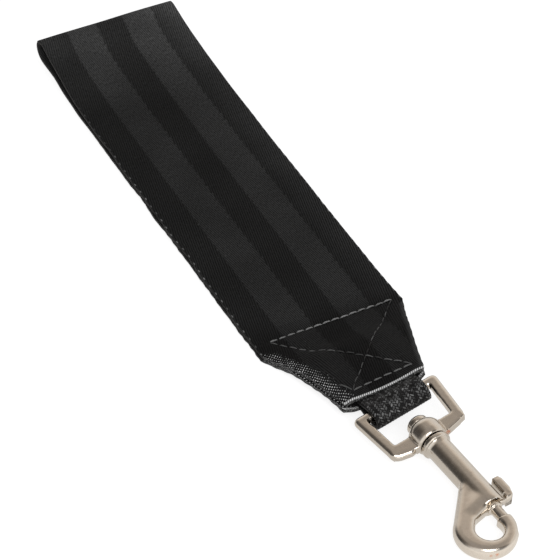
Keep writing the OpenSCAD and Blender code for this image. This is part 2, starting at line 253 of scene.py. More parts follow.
def topHeight(y):
    return 2 * strap["thick"] + layerGap(y)


def pinch(x):                            # beside the tab the two layers come back together
    return ease((abs(x) - tab["width"] / 2 - strap["pinchFrom"]) / strap["pinchRun"])


seamTop, seamEnd = strap["flatEnd"] - seam["topRun"], cutEnd + seam["endInset"]
corner = {
    "topLeft": Vector((seam["shift"] - seam["topHalf"], seamTop)),
    "topRight": Vector((seam["shift"] + seam["topHalf"], seamTop)),
    "endLeft": Vector((seam["shift"] - seam["endHalf"], seamEnd)),
    "endRight": Vector((seam["shift"] + seam["endHalf"], seamEnd)),
}
corner["tail"] = corner["endLeft"] + Vector(seam["tail"])
# each line: from, to, how light its thread is painted as painted sheen, how thick, how unsteady
seamLines = [("topLeft", "topRight", 0.46, 0.29, 0.8), ("topLeft", "endRight", 0.14, 0.22, 1.5),
             ("topRight", "endLeft", 0.08, 0.2, 1.5), ("endLeft", "endRight", 0.25, 0.28, 1.2),
             ("endLeft", "tail", 0.2, 0.25, 0.8)]


def seamDip(x, y):                       # 1 on a line of the seam, and less beside it
    spot = Vector((x, y))
    nearest = math.inf
    for start, end, *rest in seamLines:
        a, b = corner[start], corner[end]
        t = clampUnit((spot - a).dot(b - a) / (b - a).length_squared)
        nearest = min(nearest, (spot - a - (b - a) * t).length)
    return math.exp(-(nearest / strap["seamReach"]) ** 2)


def strapLine():                         # the webbing's middle in side view, from one cut round the fold to the other
    step, half = strap["rowStep"], strap["thick"] / 2
    radius = strap["foldHeight"] / 2
    turn = foldEnd + strap["foldPast"] - radius
    flatCount, turnCount = round((turn - cutEnd) / step), round(math.pi * (radius - half) / step)
    line = [(cutEnd + (turn - cutEnd) * i / flatCount, half) for i in range(flatCount)]
    for i in range(turnCount):
        a = math.pi * i / turnCount
        line.append((turn + (radius - half) * math.sin(a), radius - (radius - half) * math.cos(a)))
    lie = 2 * strap["thick"] + strap["layerGap"]
    for i in range(flatCount + 1):
        y = turn + (cutEnd - turn) * i / flatCount
        settled = lie + (strap["foldHeight"] - lie) * math.exp(-(turn - y) / strap["settle"])
        line.append((y, (settled if y > strap["flatEnd"] else topHeight(y)) - half))
    return list(zip(*(softened(values, strap["easing"]) for values in zip(*line))))


def lineRun(line):                       # how far along the line each of its points is
    run = [0]
    for a, b in zip(line, line[1:]):
        run.append(run[-1] + math.dist(a, b))
    return run


strapMiddle = lineRun(strapLine())[-1] / 2


def edgeWave(x, y, across, upper):       # how far the selvedge swings outwards
    lengthwise, crosswise, apart = strap["raggedScale"]
    ragged = noise.noise((y * lengthwise, across * crosswise, upper * apart)) * strap["ragged"][x >= 0]
    regular = math.sin(2 * math.pi * y / strap["edgeWave"]) * strap["waveDepth"]
    wave = regular * ease((strap["waveUntil"] - y) / strap["waveFade"]) + ragged
    if x > 0:
        past = (y - strap["flatEnd"] - strap["bulgeAt"]) / strap["bulgeReach"]
        wave = wave * strap["rightCalm"] + strap["bulge"] * math.exp(-past ** 2)
    return wave


def makeStrap(materials):
    line = strapLine()
    run = lineRun(line)
    kept = [i for i, (y, h) in enumerate(line)
            if y < strap["flatEnd"] + strap["fineUntil"] or y > strap["fineFrom"] or i % strap["sparse"] == 0]
    rows = len(kept) - 1
    bm = bmesh.new()
    bmesh.ops.create_grid(bm, x_segments=strap["columns"], y_segments=rows, size=1)
    sideCut = bm.verts.layers.float.new("sideCut")
    endCut = bm.verts.layers.float.new("endCut")
    place = {}
    for vert in bm.verts:
        across, i = vert.co.x, kept[round((vert.co.y + 1) / 2 * rows)]
        y, h = line[i]
        upper = run[i] > strapMiddle
        side = 1 if across > 0 else 0
        half = halfWidth(y, side) - strap["neck"][side] * ease((y - strap["neckFrom"]) / strap["neckRun"])
        x = across * half
        dip = seamDip(x, y) * strap["seamDip"] if y < strap["flatEnd"] + strap["seamPast"] else 0
        closing = (layerGap(y) - strap["layerGap"]) * pinch(x)
        spread = 0
        if upper:
            spot = (x * strap["swellAcross"], y * strap["swellAlong"], strap["swellSeed"])
            soft = noise.noise(spot) * strap["swell"]
            soft *= ease((y - strap["flatEnd"] + strap["swellFade"]) / strap["swellRun"])
            h += soft - dip - closing * strap["closeDown"][side]
        else:
            h += dip * strap["underDip"] + closing * strap["closeUp"][side]
            spread = closing * strap["splay"] * abs(across) ** strap["splayPower"] if side == 0 else 0
        outwards = edgeWave(x, y, across, upper) * abs(across) ** strap["wavePower"] + spread
        bow = strap["cutBow"] * ease((cutEnd + strap["bowReach"] - y) / strap["bowReach"]) * (1 - across ** 2)
        vert.co = (sewnPoint(x + outwards * (1 if x > 0 else -1), y, h) - Vector((0, bow, 0))) * mm
        place[vert] = (x, run[i] + (bow if upper else -bow))
        taper = strap["flatEnd"] - strap["shoulder"][side] - y
        vert[sideCut] = (half - abs(x)) * strap["slant"] + max(0, strap["cutFrom"] - taper) * strap["cutFade"]
        vert[endCut] = y - cutEnd        # both say how far in from a heat cut, for its frayed look
    layCloth(bm, place)
    area = sum(face.calc_area() for face in bm.faces)
    piece = finishPiece("strapWebbing", bm, materials, "strap", "strap_webbing")
    wall = piece.modifiers.new("thickness", "SOLIDIFY")
    wall.thickness, wall.offset, wall.use_rim, wall.material_offset_rim = strap["thick"] * mm, 0, True, 1
    print(f"strap: {run[-1]:.1f} mm of webbing, {area * 1e6:.0f} mm2")


def tabLine(side):                       # from its root between the strap's ends round the eye's bar and back
    half = (tab["width"] / 2 - tab["curl"]) * side      # its edges curl in a little
    middle = (tab["thick"] + tab["plyGap"]) / 2
    rootStep = (tab["root"] - tab["rootShort"]) / tab["rootSteps"]
    ys = [cutEnd + tab["root"] - i * rootStep for i in range(tab["rootSteps"] + 1)]

    def sewn(way):
        return [sewnPoint(half, y, strap["thick"] + layerGap(y) / 2 + way * middle) for y in ys]

    reach = [*tab["run"], tab["foldAhead"]]
    radius = tab["foldRadius"]
    turn = []
    for degrees in range(tab["foldStep"], 180, tab["foldStep"]):
        a = math.radians(degrees)
        turn.append(eyePoint(tab["foldAhead"] + radius * math.sin(a), half, -radius * math.cos(a)))
    return (sewn(-1) + [eyePoint(s, half, -radius) for s in reach] + turn
            + [eyePoint(s, half, radius) for s in reversed(reach)] + list(reversed(sewn(1))))


def evenOut(points, count):              # the same line in equal steps, and its length
    run = [0]
    for a, b in zip(points, points[1:]):
        run.append(run[-1] + (b - a).length)
    even, k = [], 0
    for i in range(count + 1):
        at = run[-1] * i / count
        while k < len(run) - 2 and run[k + 1] < at:
            k += 1
        even.append(points[k].lerp(points[k + 1], clampUnit((at - run[k]) / (run[k + 1] - run[k]))))
    return softened(even, tab["easing"]), run[-1]


tabMiddle = evenOut(tabLine(1), 1)[1] / 2


def weaveRelief(u, v, length):           # how far the basket weave stands out at a place on the tab
    bare = ease((min(v, length - v) - tab["root"]) / tab["bareRun"] + 1)
    rib, inRib = divmod(u / tab["rib"], 1)
    lean = tab["lean"] if rib % 2 else -tab["lean"]
    floats = v / tab["float"] + rib % 2 / 2 + lean * (inRib - 0.5)
    cross = math.sin(math.pi * inRib) * math.cos(2 * math.pi * floats)
    spot = (u * tab["unsteadyScale"], v * tab["unsteadyScale"], tab["unsteadySeed"])
    unsteady = 1 + tab["unsteady"] * noise.noise(spot)
    edge = clampUnit(min(u, tab["width"] - u) / tab["edge"])
    return tab["relief"] * cross * unsteady * (tab["hidden"] + (1 - tab["hidden"]) * bare) * edge


def makeTab(materials):
    rows, columns = round(evenOut(tabLine(-1), 1)[1] / tab["step"]), round(tab["width"] / tab["step"])
    left, leftLength = evenOut(tabLine(-1), rows)
    right, rightLength = evenOut(tabLine(1), rows)
    length = (leftLength + rightLength) / 2
    bm = bmesh.new()
    bmesh.ops.create_grid(bm, x_segments=columns, y_segments=rows, size=1)
    place = {}
    for vert in bm.verts:
        across, i = (vert.co.x + 1) / 2, round((vert.co.y + 1) / 2 * rows)
        vert.co = left[i].lerp(right[i], across) * mm
        place[vert] = (across * tab["width"], length * i / rows)
    bm.normal_update()
    if sum(f.normal.z * f.calc_area() for f in bm.faces if f.calc_center_median().z > barAt.z * mm) < 0:
        bmesh.ops.reverse_faces(bm, faces=bm.faces)
        bm.normal_update()
    normals = {vert: vert.normal.copy() for vert in bm.verts}
    for vert, normal in normals.items():
        vert.co += normal * mm * weaveRelief(*place[vert], length)
    layCloth(bm, place)
    piece = finishPiece("tabWebbing", bm, materials, "strap", "tab_webbing")
    wall = piece.modifiers.new("thickness", "SOLIDIFY")
    wall.thickness, wall.offset = tab["wall"] * mm, 0
    print(f"tab: {length:.1f} mm of webbing")


# one arched and twisted thread for each stitch of the boxed X
stitch = {"around": 10, "along": 11, "lean": 0.09, "stray": 0.14, "uneven": 0.1, "overlap": 1.02,
          "arch": 0.16, "sink": 0.42, "drop": 3.2, "twist": 2.6, "ply": 0.14, "topSink": 0.9, "underSink": 0.5}


def makeStitches(name, node, material, upper, seed):
    random.seed(seed)
    bm = bmesh.new()
    shade = bm.verts.layers.float.new("shade")
    for start, end, light, thick, unsteady in seamLines:
        a, b = corner[start], corner[end]
        count = max(1, int((b - a).length / seam["pitch"]))
        step = (b - a) / count
        sideways = Vector((-step.y, step.x)).normalized()
        for i in range(count):
            lean = random.uniform(-stitch["lean"], stitch["lean"]) * unsteady
            stray = random.uniform(-stitch["stray"], stitch["stray"])
            middle = a + step * (i + 0.5) + sideways * stray * unsteady
            reach = Matrix.Rotation(lean, 2) @ step * 0.5
            tone = light + random.uniform(-stitch["uneven"], stitch["uneven"])
            ball = bmesh.ops.create_uvsphere(bm, u_segments=stitch["around"], v_segments=stitch["along"], radius=1)
            for vert in ball["verts"]:
                along, turn = vert.co.z, math.atan2(vert.co.y, vert.co.x)
                rim = math.hypot(vert.co.x, vert.co.y)
                plies = 1 - stitch["ply"] + stitch["ply"] * math.cos(2 * (turn + stitch["twist"] * along))
                radius = thick * rim ** 0.5 * plies
                spot = middle + reach * along * stitch["overlap"]
                rise = stitch["arch"] - (stitch["arch"] + stitch["sink"]) * abs(along) ** stitch["drop"]
                x, y = spot + Vector((-reach.y, reach.x)).normalized() * radius * math.cos(turn)
                if upper:
                    h = topHeight(spot.y) - strap["seamDip"] * stitch["topSink"] + rise + radius * math.sin(turn)
                else:
                    h = (strap["seamDip"] - rise) * stitch["underSink"] + radius * math.sin(turn)
                vert.co = sewnPoint(x, y, h) * mm
                vert[shade] = tone
    bmesh.ops.recalc_face_normals(bm, faces=bm.faces)
    finishPiece(name, bm, [material], "strap", node)
    print(f"{name}: made")


def soften(bm, verts, rounds):
    for again in range(rounds):
        bmesh.ops.smooth_vert(bm, verts=verts, factor=0.5, use_axis_x=True, use_axis_y=True, use_axis_z=True)


def addBall(bm, at, radius):
    bmesh.ops.create_icosphere(bm, subdivisions=3, radius=radius * mm, matrix=Matrix.Translation(at * mm))


def cutter(bm, name):
    mesh = bpy.data.meshes.new(name)
    bmesh.ops.recalc_face_normals(bm, faces=bm.faces)
    bm.to_mesh(mesh)
    bm.free()
    tool = bpy.data.objects.new(name, mesh)
    scene.collection.objects.link(tool)
    return tool


def snapTurn(s, l, h):                   # a matrix whose Z runs along the snap and whose X is its side
    turn = Matrix((hookSide, snapAlong.cross(hookSide), snapAlong)).transposed().to_4x4()
    return Matrix.Translation(snapPoint(s, l, h) * mm) @ turn


cutReach = 6                             # how far out from the snap's middle a tool cuts


def blockTool(name, start, end, inner, high):
    block = bmesh.new()
    size = Matrix.Diagonal((cutReach * mm, high * mm, (end - start) * mm, 1))
    bmesh.ops.create_cube(block, size=1, matrix=snapTurn((start + end) / 2, inner + cutReach / 2, 0) @ size)
    return cutter(block, name)


def boreTool(name, start, end, radius):
    bore = bmesh.new()
    bmesh.ops.create_cone(bore, cap_ends=True, segments=48, radius1=radius * mm, radius2=radius * mm,
                          depth=(end - start) * mm, matrix=snapTurn((start + end) / 2, 0, 0))
    return cutter(bore, name)


def ringTool(name, start, end, inner):
    ring = bmesh.new()
    corners = [ring.verts.new(snapPoint(s, l, 0) * mm)
               for s, l in ((start, inner), (start, cutReach), (end, cutReach), (end, inner))]
    edges = [ring.edges.new((corners[i - 1], corners[i])) for i in range(4)]
    bmesh.ops.spin(ring, geom=corners + edges, cent=barAt * mm, axis=snapAlong, angle=2 * math.pi, steps=64,
                   use_merge=True)
    return cutter(ring, name)


# a cast piece is its solid with the soft corners of a zinc casting: filled, remeshed, cut, then smoothed
def makeCasting(name, node, body, cast, material):
    bm = bmesh.new()
    bm.from_mesh(frame["nodes"][node].data)
    bmesh.ops.remove_doubles(bm, verts=bm.verts, dist=1e-6)
    for at, radius in cast.get("nubs", ()):
        addBall(bm, at, radius)
    web = bmesh.new()                    # round lumps whose hull is the metal that fills a corner
    for at, radius in cast["lumps"]:
        addBall(web, at, radius)
    bmesh.ops.delete(web, geom=web.faces[:], context="FACES_ONLY")
    hull = bmesh.ops.convex_hull(web, input=web.verts)
    spare = dict.fromkeys(g for g in hull["geom_interior"] + hull["geom_unused"] if isinstance(g, bmesh.types.BMVert))
    bmesh.ops.delete(web, geom=list(spare), context="VERTS")
    mesh = bpy.data.meshes.new(name)
    web.to_mesh(mesh)
    web.free()
    bm.from_mesh(mesh)
    bm.to_mesh(mesh)
    bm.free()
    rough = bpy.data.objects.new(name + ".rough", mesh)
    scene.collection.objects.link(rough)
    skin = rough.modifiers.new("skin", "REMESH")
    skin.mode, skin.voxel_size = "VOXEL", cast["voxel"] * mm
    tools = [make(*sizes) for make, *sizes in cast.get("cuts", ())]
    for tool in tools:
        cut = rough.modifiers.new(tool.name, "BOOLEAN")
        cut.operation, cut.object, cut.solver = "DIFFERENCE", tool, "EXACT"
    shaped = bpy.data.meshes.new_from_object(rough.evaluated_get(bpy.context.evaluated_depsgraph_get()))
    for scrap in [rough, *tools]:
        bpy.data.objects.remove(scrap)
    bm = bmesh.new()
    bm.from_mesh(shaped)
    soften(bm, bm.verts, cast["rounds"])
    for where, rounds in cast.get("softer", ()):
        placed = [(vert, vert.co / mm - barAt) for vert in bm.verts]
        soften(bm, [vert for vert, off in placed if where(off.dot(snapAlong), off.dot(hookSide))], rounds)
    bmesh.ops.recalc_face_normals(bm, faces=bm.faces)
    bm.normal_update()
    for vert in bm.verts:                # gives back what the smoothing took off
        vert.co += vert.normal * cast["swell"] * mm
    print(f"{name}: {len(bm.faces)} faces")
    finishPiece(name, bm, [material], body, node)


def eyeArms(s, l):                       # s runs along the snap and l to its lever's side, as everywhere
    return abs(l) > eye["bossReach"]


def eyeCorners(s, l):
    return s > eye["cornerFrom"][0] and abs(l) > eye["cornerFrom"][1]


eye = {
    "voxel": 0.16, "rounds": 12, "swell": 0.1, "bossReach": 5.2, "cornerFrom": (16.3, 10.3),
    "lumps": [(eyePoint(16.4, -11.0, 0), 1.35), (eyePoint(15.2, -11.6, 0), 1.4), (eyePoint(17.3, -7.0, 0), 1.3),
              (eyePoint(15.5, -7.0, 0), 1.3)],
    "softer": [(eyeArms, 22), (eyeCorners, 50)],
}


def hookBody(s, l):                      # the flank and the round end
    return s > hook["flankFrom"] and l < hook["slotSide"] or s > hook["mouthAt"]


def flankRoot(s, l):                     # where the flank leaves the barrel
    start, end = hook["rootRun"]
    return start < s < end and l < hook["rootSide"]


def outerRim(s, l):
    (bowAt, bowSide), edgeAt, bowFrom = hook["bow"], hook["edgeAt"], hook["bowFrom"]
    if s > bowFrom:
        return math.hypot(s - bowAt, l - bowSide) > hook["rimRadius"]
    return s > edgeAt and l < hook["edgeSide"] - hook["edgeSlope"] * (s - edgeAt)


def pastBarrel(s, l):
    return s > hook["barrelUntil"]


def flankPoint(run, out, up):            # along the flank, from the round end towards the barrel
    a = math.radians(hook["flankTurn"])
    at, side = hook["bow"]
    reach = hook["flankMiddle"] + out
    return snapPoint(at + reach * math.cos(a) + run * math.sin(a), side + reach * math.sin(a) - run * math.cos(a), up)


hook = {
    "voxel": 0.16, "rounds": 5, "swell": 0.07, "nubs": [(snapPoint(58.3, 0.1, 0), 0.6)],
    "bow": (52.9, -7.1), "bowFrom": 47, "rimRadius": 7.2, "flankTurn": 228, "flankMiddle": 6.02,
    "barrelUntil": 34, "flankFrom": 36, "slotSide": 3.2, "mouthAt": 48, "rootRun": (35.5, 48.5), "rootSide": 2.2,
    "edgeAt": 38, "edgeSide": -3.4, "edgeSlope": 0.85,
    "softer": [(hookBody, 30), (flankRoot, 40), (outerRim, 60), (pastBarrel, 5)],
    "cuts": [(boreTool, "boreTool", 27.2, 47.2, 2.3), (blockTool, "slotTool", 39, 48.8, 0, 2.5),
             (ringTool, "gapTool", 18.2, 18.95, 3.2), (ringTool, "lineTool", 20.1, 20.4, 3.95)],
}
hook["lumps"] = [(snapPoint(38.9, -0.9, 0), 2.5), (snapPoint(43.6, -0.3, 0), 3.4)]
hook["lumps"] += [(flankPoint(3, out, up), 1.5) for out in (-1.35, 1.35) for up in (-0.75, 0.75)]

bolt = {                                 # its thumb lever is a little shorter than the solid's, and its ear thicker
    "voxel": 0.12, "rounds": 22, "swell": 0.04,
    "lumps": [(snapPoint(s, l, up), 0.8) for s, l in ((40.5, 5.6), (40.5, 6.6), (44.3, 5.6), (44.3, 6.6), (45.8, 6.0))
              for up in (-1.5, 1.5)],
    "cuts": [(blockTool, "rootTool", 46.95, 50, 2.3, 8), (blockTool, "earTool", 35, 39.4, 4, 8)],
}

spring = {"wire": 0.2, "radius": 1.9, "length": 11, "turns": 11, "end": 38.5, "around": 8, "turnSteps": 20}


def makeSpring(material):
    bm = bmesh.new()
    start = snapPoint(spring["end"] - spring["length"], spring["radius"], 0)
    across = Matrix.Translation(start * mm) @ hookUp.to_track_quat("Z", "Y").to_matrix().to_4x4()
    ring = bmesh.ops.create_circle(bm, segments=spring["around"], radius=spring["wire"] * mm, matrix=across)
    edges = list(dict.fromkeys(edge for vert in ring["verts"] for edge in vert.link_edges))
    steps = spring["turns"] * spring["turnSteps"]
    bmesh.ops.spin(bm, geom=edges, cent=barAt * mm, axis=snapAlong, angle=2 * math.pi * spring["turns"],
                   dvec=snapAlong * spring["length"] * mm / steps, steps=steps, use_merge=False)
    bmesh.ops.holes_fill(bm, edges=[e for e in bm.edges if e.is_boundary], sides=0)
    bmesh.ops.recalc_face_normals(bm, faces=bm.faces)
    piece = finishPiece("springCoil", bm, [material], "snap", "bolt_spring")
    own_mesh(piece)
    print("springCoil: made")


# dyed black polyester, loom woven: matt, with fine leaning lines and two stripes a shade paler, under painted light and
# shade: a painted sheen that greys it towards the fold, painted light on its right and painted shade at the sewn end.
# Its lines are about twice as coarse as the real ones, so that they show. Sizes are in millimetres, u across
# the webbing and v along it; scales are cells in a millimetre, and four values are from, to, and the values there
twill = {
    "ground": ("#070707", "#232323"), "groundLean": 12.8, "groundPitch": 0.7,
    "stripe": ("#0c0c0c", "#363636"), "stripeLean": -10, "stripePitch": 0.62,
    "stripes": ((-14.6, -4.4), (4.8, 15.0)), "stripeSoft": 0.35, "drawn": (2, 16, -1.3, 0),
    "jagPitch": 1.6, "jag": 0.16, "teethPitch": 3.7, "teeth": 0.7, "teethWander": 0.35,
    "wander": 1.2, "unevenScale": 0.35, "broadScale": 0.06, "broad": (0.3, 0.7, 0.85, 1.15),
    "floatScale": (2.6, 0.9, 1), "floats": 1.3, "floatsOff": -0.17, "lines": (20, 120, 0.26, 0.46),
    # after the lines' contrast, the levels on this line and the next, up to the fray, are painted light and shade
    "wornAndSheen": (2, 48, 2.3, 1), "crest": (2, 14, 0.35, 0), "crestSide": (13, 16), "sunny": (4, 24, 0, 0.5),
    "sunnyRun": (80, 112, 1, 0.15), "sewn": (150, 160, 1, 0.56), "rightSideLight": (15, 24, 0.93, 1.7),
    "fray": "#d6d6d6", "speckPitch": 1.15, "speckLean": 1.2, "speckFloats": 0.7, "nearSide": (2, 5, 0.2, -0.15),
    "speck": (0.82, 0.94), "speckSide": (-4, 4, 0.9, 0), "speckPatches": (0.35, 0.6, 0.35, 1.15),
    "nearEnd": (0.6, 0.85, 1, 0), "hatchPitch": 0.64, "hatchLean": 4, "hatch": 0.55, "hatchLevel": 0.7,
    "hatchFloats": (0.3, 0.6, 0.5, 1.1), "selvedge": (-0.42, -0.2), "edgeDots": (0.45, 1, 0.01, 0.3),
    "edgePatches": (0.35, 0.6, 0.3, 1.1), "edgeRun": (20, 90), "rim": (0.3, 1.6, 0.045, 0),
    "bump": 0.55, "relief": 0.12, "roughness": 0.8, "specular": 0.1,
}


def wovenStripes():
    material, tree, shader = startMaterial("polyester twill webbing")
    cloth = addNode(tree, "UVMap", uv_map="cloth")
    spot = addNode(tree, "SeparateXYZ", cloth)
    u, v = spot.outputs["X"], spot.outputs["Y"]
    uneven = addNode(tree, "TexNoise", cloth, twill["unevenScale"], 3)
    wander = addNode(tree, "Math MULTIPLY_ADD", uneven, twill["wander"], -twill["wander"] / 2)
    stretched = addNode(tree, "Mapping", cloth, None, None, twill["floatScale"])
    floats = addNode(tree, "TexNoise", stretched, 1, 2)
    broad = addNode(tree, "TexNoise", cloth, twill["broadScale"], 2)
    fromFold = addNode(tree, "Math ABSOLUTE", addNode(tree, "Math SUBTRACT", v, strapMiddle))

    def waves(pitch, along=v, shift=0):
        return addNode(tree, "Math SINE", addNode(tree, "Math MULTIPLY_ADD", along, 2 * math.pi / pitch, shift))

    def twillLines(lean, pitch):         # lines that lean off the webbing's length, in degrees
        lean = math.radians(lean)
        lengthwise = addNode(tree, "Math MULTIPLY", v, math.sin(lean))
        return waves(pitch, addNode(tree, "Math MULTIPLY_ADD", u, math.cos(lean), lengthwise), wander)

    # the stripes have one jagged and one toothed edge, and draw in at the fold
    place = addNode(tree, "Math ADD", u, addNode(tree, "MapRange", fromFold, *twill["drawn"]))
    jag = addNode(tree, "Math MULTIPLY_ADD", waves(twill["jagPitch"]), twill["jag"], place)
    along = addNode(tree, "Math DIVIDE", v, twill["teethPitch"])
    along = addNode(tree, "Math MULTIPLY_ADD", wander, twill["teethWander"], along)
    teeth = addNode(tree, "Math MULTIPLY_ADD", addNode(tree, "Math FRACT", along), twill["teeth"], place)
    stripes = []
    for low, high in twill["stripes"]:
        soft, high = twill["stripeSoft"], high + twill["teeth"] / 2
        rise = addNode(tree, "MapRange SMOOTHSTEP", jag, low - soft, low + soft)
        fall = addNode(tree, "MapRange SMOOTHSTEP", teeth, high - soft, high + soft, 1, 0)
        stripes.append(addNode(tree, "Math MULTIPLY", rise, fall))
    stripe = addNode(tree, "Math ADD", *stripes)
    lines = addNode(tree, "Mix FLOAT", stripe, twillLines(twill["groundLean"], twill["groundPitch"]),
                    twillLines(twill["stripeLean"], twill["stripePitch"]))
    thread = addNode(tree, "Math MULTIPLY_ADD", floats, twill["floats"], twill["floatsOff"])
    thread = addNode(tree, "Math MULTIPLY_ADD", lines, addNode(tree, "MapRange", fromFold, *twill["lines"]), thread)
    ground, figured = (addNode(tree, "Mix RGBA", thread, *map(colour, twill[tones])) for tones in ("ground", "stripe"))
    tone = addNode(tree, "Mix RGBA", stripe, ground, figured)

    # painted light and shade: paler towards the fold as a painted sheen, with a painted highlight on the fold's crest
    # near the edges and painted light on the sunny right side and at its right edge; darker towards the sewn end as
    # painted shade;
    # and a broad random unevenness of tone
    fromMiddle = addNode(tree, "Math ABSOLUTE", u)
    crest = addNode(tree, "Math MULTIPLY", addNode(tree, "MapRange", fromFold, *twill["crest"]),
                    addNode(tree, "MapRange", fromMiddle, *twill["crestSide"]))
    sunny = addNode(tree, "Math MULTIPLY", addNode(tree, "MapRange", u, *twill["sunny"]),
                    addNode(tree, "MapRange", fromFold, *twill["sunnyRun"]))
    level = addNode(tree, "Math MULTIPLY", addNode(tree, "MapRange SMOOTHSTEP", fromFold, *twill["wornAndSheen"]),
                    addNode(tree, "Math ADD", crest, sunny, 1),
                    addNode(tree, "MapRange SMOOTHSTEP", fromFold, *twill["sewn"]),
                    addNode(tree, "MapRange", u, *twill["rightSideLight"]), addNode(tree, "MapRange", broad, *twill["broad"]))
    grey = addNode(tree, "CombineColor", level, level, level)
    tone = addNode(tree, "Mix RGBA", 1, tone, grey, blend_type="MULTIPLY")

    # frayed and melted ends: pale specks that crowd towards the cut, and a hatched bead along the end
    sideCut = addNode(tree, "Attribute", attribute_name="sideCut").outputs["Fac"]
    endCut = addNode(tree, "Attribute", attribute_name="endCut").outputs["Fac"]
    leaning = waves(twill["speckPitch"], u, addNode(tree, "Math MULTIPLY", v, twill["speckLean"]))
    specks = addNode(tree, "Math MULTIPLY", leaning, waves(twill["speckPitch"]), 0.5)
    specks = addNode(tree, "Math ADD", specks, addNode(tree, "Math MULTIPLY", floats, twill["speckFloats"]),
                     addNode(tree, "MapRange", sideCut, *twill["nearSide"]))
    specks = addNode(tree, "Math MULTIPLY", addNode(tree, "MapRange", specks, *twill["speck"]),
                     addNode(tree, "MapRange", u, *twill["speckSide"]),
                     addNode(tree, "MapRange", uneven, *twill["speckPatches"]))
    hatch = waves(twill["hatchPitch"], u, addNode(tree, "Math MULTIPLY", v, twill["hatchLean"]))
    bead = addNode(tree, "Math MULTIPLY", addNode(tree, "MapRange", endCut, *twill["nearEnd"]),
                   addNode(tree, "Math MULTIPLY_ADD", hatch, twill["hatch"], twill["hatchLevel"]),
                   addNode(tree, "MapRange", floats, *twill["hatchFloats"]))
    inner, outer = (strapHalf + off for off in twill["selvedge"])
    dots = addNode(tree, "Math MULTIPLY", addNode(tree, "MapRange", fromMiddle, inner, outer),
                   addNode(tree, "MapRange", waves(strap["edgeWave"]), *twill["edgeDots"]),
                   addNode(tree, "MapRange", uneven, *twill["edgePatches"]),
                   addNode(tree, "Math GREATER_THAN", v, strapMiddle),
                   addNode(tree, "MapRange", fromFold, *twill["edgeRun"]))
    rim = addNode(tree, "Math MULTIPLY", addNode(tree, "MapRange", sideCut, *twill["rim"]),
                  addNode(tree, "Math GREATER_THAN", u, 0))
    marks = addNode(tree, "Math MAXIMUM", addNode(tree, "Math ADD", specks, rim), bead, dots)
    tone = addNode(tree, "Mix RGBA", marks, tone, colour(twill["fray"]))
    height = addNode(tree, "Math MULTIPLY_ADD", lines, 0.5, floats)
    bump = addNode(tree, "Bump", twill["bump"], twill["relief"] * mm, None, height)
    dress(tree, shader, {"Base Color": tone, "Roughness": twill["roughness"], "Normal": bump,
                         "Specular IOR Level": twill["specular"]})
    return material


# the webbing's wall: plain black thread ends, and a pale melted grain where a hot knife has cut it. Here and below,
# grains, fibres, ripples, clouds, grit and streaks are counted in a millimetre
meltedEdge = {"tones": ("#0b0b0b", "#c4c4c4"), "grains": 2.6, "pale": (0.45, 0.66), "cut": (0.5, 1.2, 1, 0),
              "cutShare": 0.36, "share": 0.03, "bump": 0.8, "relief": 0.2, "roughness": 0.7, "specular": 0.25}


def sealedEdge():
    material, tree, shader = startMaterial("heat cut webbing edge")
    here = addNode(tree, "TexCoord").outputs["Object"]
    sideCut = addNode(tree, "Attribute", attribute_name="sideCut").outputs["Fac"]
    endCut = addNode(tree, "Attribute", attribute_name="endCut").outputs["Fac"]
    cut = addNode(tree, "MapRange", addNode(tree, "Math MINIMUM", sideCut, endCut), *meltedEdge["cut"])
    grain = addNode(tree, "TexNoise", here, meltedEdge["grains"] / mm, 2)
    share = addNode(tree, "Math MULTIPLY_ADD", cut, meltedEdge["cutShare"], meltedEdge["share"])
    amount = addNode(tree, "Math MULTIPLY", addNode(tree, "MapRange", grain, *meltedEdge["pale"]), share)
    tone = addNode(tree, "Mix RGBA", amount, *map(colour, meltedEdge["tones"]))
    bump = addNode(tree, "Bump", meltedEdge["bump"], meltedEdge["relief"] * mm, None, grain)
    dress(tree, shader, {"Base Color": tone, "Roughness": meltedEdge["roughness"], "Normal": bump,
                         "Specular IOR Level": meltedEdge["specular"]})
    return material


# black polypropylene in a coarse basket weave: each float is a smooth bundle with a painted highlight on its crown,
# and the weave is painted lighter near the bend and darker away from it as painted light and shade
basket = {"tones": ("#090909", "#7e7e7e"), "crownRow": (0.08, 0.3, 1, 0), "crownRib": (0.28, 0.48, 1, 0),
          "fibreScale": (4, 4, 1), "fibre": (0.3, 0.7, 0.5, 1.2), "patchScale": 0.8, "patches": (0.35, 0.65, 0.35, 1.2),
          "lucky": (0.15, 1, 0.05, 1), "bend": (3, 11, 1.25, 0.55),
          "bump": 0.6, "relief": 0.15, "roughness": 0.6, "specular": 0.15}


